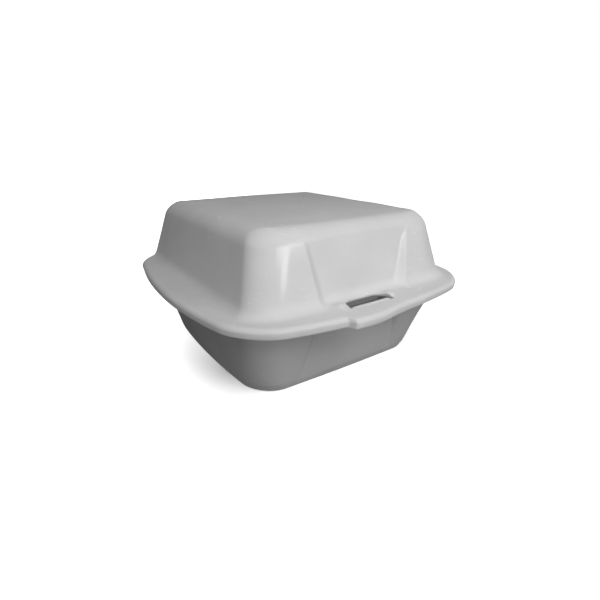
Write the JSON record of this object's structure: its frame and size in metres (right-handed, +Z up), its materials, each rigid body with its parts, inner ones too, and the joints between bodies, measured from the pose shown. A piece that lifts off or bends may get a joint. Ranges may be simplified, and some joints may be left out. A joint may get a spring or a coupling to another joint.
{
  "type": "hinged foam food container",
  "caption": "Square clamshell food container of moulded foam with a hinged lid, a stepped-in front panel and a tab latch.",
  "frame": {"origin": "middle of the base's underside, on the table", "axes": "+X along the front from left to right, +Y from the front to the hinge, +Z up"},
  "size_m": [0.1498, 0.1466, 0.0763],
  "materials": {
    "base_foam": "smooth skinned polystyrene foam",
    "lid_foam": "smooth skinned polystyrene foam"
  },
  "bodies": {
    "base": {"base": "base_foam"},
    "lid": {"lid": "lid_foam"}
  },
  "joints": [
    {"name": "lid_hinge", "type": "hinge", "parent": "base", "child": "lid", "pos_m": [0, 0.0661, 0.0398], "axis": [-1, 0, 0], "range_deg": [0, 180]}
  ]
}
